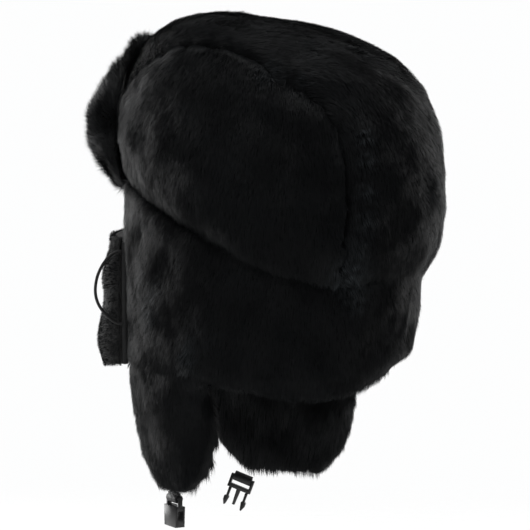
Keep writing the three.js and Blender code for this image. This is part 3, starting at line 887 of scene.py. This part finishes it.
def group(name, inputs, outputs):
    """An empty node group. inputs and outputs map names to (socket type, default)."""
    tree = bpy.data.node_groups.new(name, "ShaderNodeTree")
    for key, (kind, value) in inputs.items():
        socket = tree.interface.new_socket(key, in_out="INPUT", socket_type=kind)
        if value is not None:
            socket.default_value = value
    for key, kind in outputs.items():
        tree.interface.new_socket(key, in_out="OUTPUT", socket_type=kind)
    enter = tree.nodes.new("NodeGroupInput")
    leave = tree.nodes.new("NodeGroupOutput")
    return tree, Nodes(tree), enter.outputs, leave.inputs


FLOAT, COLOUR, VECTOR = "NodeSocketFloat", "NodeSocketColor", "NodeSocketVector"


def pile_tone():
    """Colour of fur: patches of the nap, then strand by strand from the dark root to the paler
    tip."""
    tree, n, given, out = group("pile_tone", {
        "Position": (VECTOR, None), "Root": (COLOUR, colour(0, 0, 0)), "Tip": (COLOUR, colour(0, 0, 0)),
        "Strand": (FLOAT, 1.0), "Patch Size": (FLOAT, 0.05),
    }, {"Colour": COLOUR})
    scale = n.math("DIVIDE", 1.0, given["Patch Size"])
    patch = n.add("ShaderNodeTexNoise", Vector=given["Position"], Scale=scale, Detail=3.0).outputs["Fac"]
    share = n.math("MULTIPLY", given["Strand"], n.ramp(patch, 0.25, 0.8))
    share = n.math("ADD", n.math("MULTIPLY", share, 0.55), n.math("MULTIPLY", given["Strand"], 0.45))
    share = n.math("MINIMUM", share, 9.0)
    tree.links.new(n.mixed(share, given["Root"], given["Tip"]), out["Colour"])
    return tree


def weave():
    """Plain weave: threads along and across pass over each other in turn. Height is the thread's
    roundness, and Thread is 1 on the crossing threads."""
    tree, n, given, out = group("weave", {
        "Position": (VECTOR, None), "Threads per Metre": (FLOAT, 1500.0),
    }, {"Height": FLOAT, "Thread": FLOAT})
    place = n.add("ShaderNodeSeparateXYZ", Vector=given["Position"]).outputs
    across = n.math("MULTIPLY", place["X"], given["Threads per Metre"])
    along = n.math("MULTIPLY", place["Y"], given["Threads per Metre"])
    waves = [n.math("ABSOLUTE", n.math("SINE", n.math("MULTIPLY", v, math.pi))) for v in (across, along)]
    cells = n.math("ADD", n.math("FLOOR", across), n.math("FLOOR", along))
    over = n.math("ABSOLUTE", n.math("MODULO", cells, 2.0))
    warp = n.math("MULTIPLY", waves[0], over)
    weft = n.math("MULTIPLY", waves[1], n.math("SUBTRACT", 1.0, over))
    tree.links.new(n.math("ADD", warp, weft), out["Height"])
    tree.links.new(over, out["Thread"])
    return tree


def grain():
    """Fine moulded or worn texture: small bumps, and wider smears that change the gloss."""
    tree, n, given, out = group("grain", {
        "Position": (VECTOR, None), "Bumps per Metre": (FLOAT, 3000.0),
    }, {"Height": FLOAT, "Smear": FLOAT})
    fine = n.add("ShaderNodeTexNoise", Vector=given["Position"], Scale=given["Bumps per Metre"],
                 Detail=2.0)
    wide = n.add("ShaderNodeTexNoise", Vector=given["Position"], Scale=90.0, Detail=4.0)
    tree.links.new(fine.outputs["Fac"], out["Height"])
    tree.links.new(n.ramp(wide.outputs["Fac"], 0.35, 0.7), out["Smear"])
    return tree


PILE_TONE, WEAVE, GRAIN = pile_tone(), weave(), grain()

# ---- materials -----------------------------------------------------------------------------


def material(name, **constants):
    """A material with one Principled shader, and constants set on its own sockets."""
    made = bpy.data.materials.new(name)
    made.use_nodes = True
    n = Nodes(made.node_tree)
    shader = made.node_tree.nodes["Principled BSDF"]
    for key, value in constants.items():
        shader.inputs[key.replace("_", " ")].default_value = value
    return made, n, shader


def join(n, output, socket):
    n.tree.links.new(output, socket)


def placed(n, source):
    return n.add("ShaderNodeTexCoord").outputs[source]


def bump(n, shader, height, strength, distance):
    made = n.add("ShaderNodeBump", Height=height, Strength=strength, Distance=distance)
    join(n, made.outputs["Normal"], shader.inputs["Normal"])


def fur_strands(name, root, tip, patch):
    made, n, shader = material(name, Roughness=0.62, Specular_IOR_Level=0.13, Sheen_Weight=0.0)
    shade = n.add("ShaderNodeAttribute", {"attribute_name": "shade"}).outputs["Fac"]
    tone = n.add("ShaderNodeGroup", {"node_tree": PILE_TONE}, Position=placed(n, "Object"), Root=root,
                 Tip=tip, Strand=shade, Patch_Size=patch)
    join(n, tone.outputs["Colour"], shader.inputs["Base Color"])
    return made


def fur_base(name, root, tip):
    """The dense underfur that shows between strands."""
    made, n, shader = material(name, Roughness=0.95, Specular_IOR_Level=0.1)
    place = placed(n, "Object")
    hairs = n.add("ShaderNodeTexNoise", Vector=place, Scale=1400.0, Detail=2.0).outputs["Fac"]
    tone = n.add("ShaderNodeGroup", {"node_tree": PILE_TONE}, Position=place, Root=root, Tip=tip,
                 Strand=n.ramp(hairs, 0.4, 0.7), Patch_Size=0.05)
    join(n, tone.outputs["Colour"], shader.inputs["Base Color"])
    bump(n, shader, hairs, 0.8, 0.6 * MM)
    return made


def cloth(name, thread, crossing, threads_per_metre, **constants):
    made, n, shader = material(name, **constants)
    cloth_weave = n.add("ShaderNodeGroup", {"node_tree": WEAVE}, Position=placed(n, "UV"),
                        Threads_per_Metre=threads_per_metre)
    join(n, n.mixed(cloth_weave.outputs["Thread"], thread, crossing), shader.inputs["Base Color"])
    bump(n, shader, cloth_weave.outputs["Height"], 0.5, 0.25 * MM)
    return made


def tape(name, thread, crossing, ribs_per_metre, **constants):
    """Narrow woven tape, ribbed in the piece's own space."""
    made, n, shader = material(name, **constants)
    tape_weave = n.add("ShaderNodeGroup", {"node_tree": WEAVE}, Position=placed(n, "Object"),
                       Threads_per_Metre=ribs_per_metre)
    wear = n.add("ShaderNodeGroup", {"node_tree": GRAIN}, Position=placed(n, "Object"),
                 Bumps_per_Metre=2500.0)
    base = n.mixed(tape_weave.outputs["Thread"], thread, crossing)
    worn = n.math("MULTIPLY", wear.outputs["Smear"], 0.4)
    join(n, n.mixed(worn, base, crossing), shader.inputs["Base Color"])
    height = n.math("ADD", tape_weave.outputs["Height"], n.math("MULTIPLY", wear.outputs["Height"], 0.5))
    bump(n, shader, height, 0.6, 0.25 * MM)
    return made


def moulding(name, base, worn):
    made, n, shader = material(name, Specular_IOR_Level=0.5)
    skin = n.add("ShaderNodeGroup", {"node_tree": GRAIN}, Position=placed(n, "Object"),
                 Bumps_per_Metre=5200.0)
    join(n, n.mixed(skin.outputs["Smear"], base, worn), shader.inputs["Base Color"])
    gloss = n.math("ADD", n.math("MULTIPLY", skin.outputs["Smear"], 0.14), 0.26)
    join(n, gloss, shader.inputs["Roughness"])
    bump(n, shader, skin.outputs["Height"], 0.12, 0.1 * MM)
    return made


BLACK_ROOT = colour(0.0026, 0.003, 0.0036)
BLACK_TIP = colour(0.0093, 0.0107, 0.012)
# LONG_TIP: the long pile's paler tips, made paler still as a painted highlight on the visor and on the
# flaps' inner pile
LONG_TIP = colour(0.042, 0.044, 0.046)

finishes = {
    "black_pile": fur_strands("black_fur_strands", BLACK_ROOT, BLACK_TIP, 0.06),
    "long_pile": fur_strands("long_fur_strands", BLACK_ROOT, LONG_TIP, 0.04),
    "black_pile_base": fur_base("black_underfur", BLACK_ROOT, colour(0.006, 0.0065, 0.007)),
    "satin": cloth("quilted_satin", colour(0.012, 0.0125, 0.015), colour(0.018, 0.019, 0.022), 2200.0,
                   Roughness=0.38, Sheen_Weight=0.2),
    "cotton": cloth("close_cotton", colour(0.0045, 0.0047, 0.005), colour(0.008, 0.0083, 0.009), 1500.0,
                    Roughness=0.85, Sheen_Weight=0.15),
    "elastic": cloth("knitted_elastic", colour(0.006, 0.006, 0.0065), colour(0.012, 0.012, 0.013), 1300.0,
                     Roughness=0.7),
    "nylon_webbing": tape("ribbed_nylon", colour(0.004, 0.004, 0.0045), colour(0.010, 0.010, 0.011), 900.0,
                          Roughness=0.55),
    "cotton_tape": tape("cotton_tape", colour(0.010, 0.0105, 0.011), colour(0.018, 0.0185, 0.0195), 1100.0,
                        Roughness=0.85),
    "acetal": moulding("moulded_acetal", colour(0.0065, 0.0067, 0.007), colour(0.012, 0.0123, 0.013)),
}


def finish_with(piece, name):
    piece.data.materials.clear()
    piece.data.materials.append(finishes[name])


for piece, is_body, slot in furs:
    finish_with(piece, "black_pile_base" if is_body else slot)
for piece in ear_loops:
    finish_with(piece, "elastic")
finish_with(lining, "satin")
finish_with(mask_lining, "satin")
finish_with(headband, "cotton")
finish_with(mask_shell, "cotton")
finish_with(mask_fleece, "black_pile")
for piece in tapes + hook_tabs:
    finish_with(piece, "cotton_tape")
for piece in loop_patches + straps:
    finish_with(piece, "nylon_webbing")
for piece in buckle:
    finish_with(piece, "acetal")

# ---- studio --------------------------------------------------------------------------------

FLOOR_DROP = 0.16                # the hat is held up this far above the floor
FLOOR_RADIUS = 40
FLOOR_FADE = (0.5, 1.3)          # the floor melts into the white room between these distances


def studio_floor():
    """A wide pale disc under the hat: rings of points from the middle out to the horizon."""
    reach = FLOOR_RADIUS * np.linspace(0.02, 1, 12) ** 3
    angle, ring = np.meshgrid(np.linspace(0, 2 * np.pi, 65)[:-1], reach, indexing="ij")
    level = np.full(angle.shape, CAD_BOX[0][2] - FLOOR_DROP)
    points = np.stack([ring * np.cos(angle), ring * np.sin(angle), level], axis=-1)
    floor = grid_piece("floor", points, ring=True)
    made, n, shader = material("pale_floor", Roughness=0.9)
    grey = n.add("ShaderNodeTexNoise", Vector=placed(n, "Object"), Scale=6.0, Detail=2.0).outputs["Fac"]
    tone = n.mixed(grey, colour(0.86, 0.86, 0.85), colour(0.9, 0.9, 0.89))
    join(n, tone, shader.inputs["Base Color"])
    measured = n.add("ShaderNodeVectorMath", {"operation": "LENGTH"}, i0=placed(n, "Object"))
    away = measured.outputs["Value"]
    join(n, n.math("SUBTRACT", 1.0, n.ramp(away, *FLOOR_FADE)), shader.inputs["Alpha"])
    floor.data.materials.append(made)
    floor.data.flip_normals()


def softbox(name, place, size, power):
    """A square soft light that faces the hat."""
    data = bpy.data.lights.new(name, "AREA")
    data.shape = "SQUARE"
    data.size = size
    data.energy = power
    lamp = bpy.data.objects.new(name, data)
    lamp.location = place
    lamp.rotation_euler = (-Vector(place)).to_track_quat("-Z", "Y").to_euler()
    lamp.visible_camera = False
    bpy.context.scene.collection.objects.link(lamp)


studio_floor()
softbox("top_light", (0.2, 0.0, 1.5), 1.3, 16)
softbox("rim_light_front", (-0.27, -1.54, 0.2), 1.2, 22)
softbox("rim_light_back", (-1.47, 0.54, 0.3), 1.2, 16)
softbox("fill_light", (1.63, -0.22, 0.8), 1.0, 4)

AMBIENT = 0.3
world = bpy.data.worlds.new("white_room")
bpy.context.scene.world = world
world.use_nodes = True
room = Nodes(world.node_tree)
sky = world.node_tree.nodes["Background"]
sky.inputs["Color"].default_value = colour(0.985, 0.988, 0.99)
seen = room.add("ShaderNodeLightPath").outputs["Is Camera Ray"]
join(room, room.math("ADD", room.math("MULTIPLY", seen, 1 - AMBIENT), AMBIENT), sky.inputs["Strength"])
bpy.context.scene.view_settings.view_transform = "Standard"
bpy.context.scene.view_settings.look = "None"
